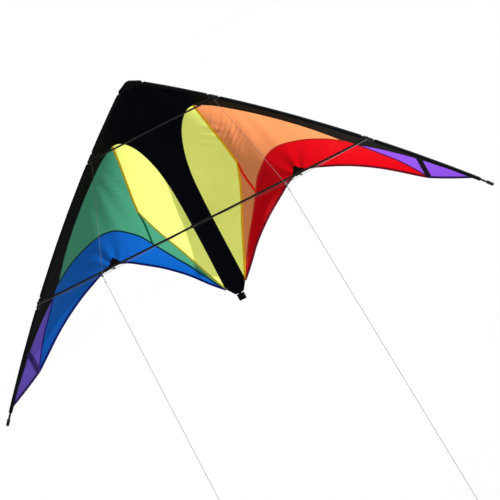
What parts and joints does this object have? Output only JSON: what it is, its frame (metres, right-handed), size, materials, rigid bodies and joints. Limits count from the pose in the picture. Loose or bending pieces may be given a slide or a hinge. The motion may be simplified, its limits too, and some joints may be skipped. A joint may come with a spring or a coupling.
{
  "type": "dual-line delta kite",
  "caption": "Dual-line delta stunt kite with a billowed panelled sail, rod frame, spreaders, standoffs, bridle and flying lines.",
  "frame": {"origin": "on the sail where the lower spreader crosses the spine, which is where the lines' pull holds the kite", "axes": "+Z along the spine to the nose, +X to the right wing as the flyer sees it, +Y away from the flyer"},
  "size_m": [1.375, 1.0466, 1.0577],
  "materials": {
    "sail_black": "coated ripstop, black",
    "sail_smoke": "coated ripstop, dark smoke, slightly see-through",
    "sail_yellow": "coated ripstop, yellow",
    "sail_green": "coated ripstop, sea green",
    "sail_orange": "coated ripstop, light orange",
    "sail_blue": "coated ripstop, blue",
    "sail_red": "coated ripstop, red",
    "sail_violet": "coated ripstop, violet",
    "webbing_black": "woven polyester, black",
    "rod_black": "fibre-reinforced rod, black, satin",
    "vinyl_black": "moulded vinyl, black",
    "line_grey": "braided line, light grey"
  },
  "bodies": {
    "frame_and_sail": {"center_black_panel": "sail_black", "left_edge_strip_panel": "sail_smoke", "right_edge_strip_panel": "sail_smoke", "left_yellow_panel": "sail_yellow", "right_yellow_panel": "sail_yellow", "left_green_panel": "sail_green", "right_orange_panel": "sail_orange", "left_blue_panel": "sail_blue", "right_red_panel": "sail_red", "left_violet_tip_panel": "sail_violet", "right_violet_tip_panel": "sail_violet", "nose_webbing": "webbing_black", "tail_webbing": "webbing_black", "left_tip_strap": "webbing_black", "right_tip_strap": "webbing_black", "left_standoff_patch": "webbing_black", "right_standoff_patch": "webbing_black", "left_nose_sleeve": "webbing_black", "right_nose_sleeve": "webbing_black", "left_middle_sleeve": "webbing_black", "right_middle_sleeve": "webbing_black", "left_tip_sleeve": "webbing_black", "right_tip_sleeve": "webbing_black", "spine_rod": "rod_black", "left_upper_edge_rod": "rod_black", "right_upper_edge_rod": "rod_black", "left_lower_edge_rod": "rod_black", "right_lower_edge_rod": "rod_black", "left_edge_ferrule": "rod_black", "right_edge_ferrule": "rod_black", "center_tee": "vinyl_black", "left_upper_edge_connector": "vinyl_black", "right_upper_edge_connector": "vinyl_black", "left_lower_edge_connector": "vinyl_black", "right_lower_edge_connector": "vinyl_black", "left_tip_nock": "vinyl_black", "right_tip_nock": "vinyl_black", "left_upper_bridle_leg": "line_grey", "right_upper_bridle_leg": "line_grey", "left_outer_bridle_leg": "line_grey", "right_outer_bridle_leg": "line_grey", "left_inner_bridle_leg": "line_grey", "right_inner_bridle_leg": "line_grey", "left_tow_pigtail": "line_grey", "right_tow_pigtail": "line_grey", "left_flying_line": "line_grey", "right_flying_line": "line_grey", "left_line_end_loop": "line_grey", "right_line_end_loop": "line_grey"},
    "upper_spreader": {"upper_spreader_rod": "rod_black"},
    "left_lower_spreader": {"left_lower_spreader_rod": "rod_black"},
    "left_standoff": {"left_standoff_rod": "rod_black", "left_standoff_clip": "vinyl_black", "left_standoff_cap": "vinyl_black"},
    "right_lower_spreader": {"right_lower_spreader_rod": "rod_black"},
    "right_standoff": {"right_standoff_rod": "rod_black", "right_standoff_clip": "vinyl_black", "right_standoff_cap": "vinyl_black"}
  },
  "joints": [
    {"name": "upper_spreader_unclip", "type": "slide", "parent": "frame_and_sail", "child": "upper_spreader", "axis": [0, -1, 0], "range_m": [0, 0.06]},
    {"name": "left_spreader_fold", "type": "hinge", "parent": "frame_and_sail", "child": "left_lower_spreader", "pos_m": [-0.005, -0.0085, 0], "axis": [0, -1, 0], "range_deg": [0, 60]},
    {"name": "left_standoff_swing", "type": "hinge", "parent": "left_lower_spreader", "child": "left_standoff", "pos_m": [-0.266, -0.0085, 0], "axis": [-1, 0, 0], "range_deg": [0, 70]},
    {"name": "right_spreader_fold", "type": "hinge", "parent": "frame_and_sail", "child": "right_lower_spreader", "pos_m": [0.005, -0.0085, 0], "axis": [0, 1, 0], "range_deg": [0, 60]},
    {"name": "right_standoff_swing", "type": "hinge", "parent": "right_lower_spreader", "child": "right_standoff", "pos_m": [0.266, -0.0085, 0], "axis": [-1, 0, 0], "range_deg": [0, 70]}
  ]
}
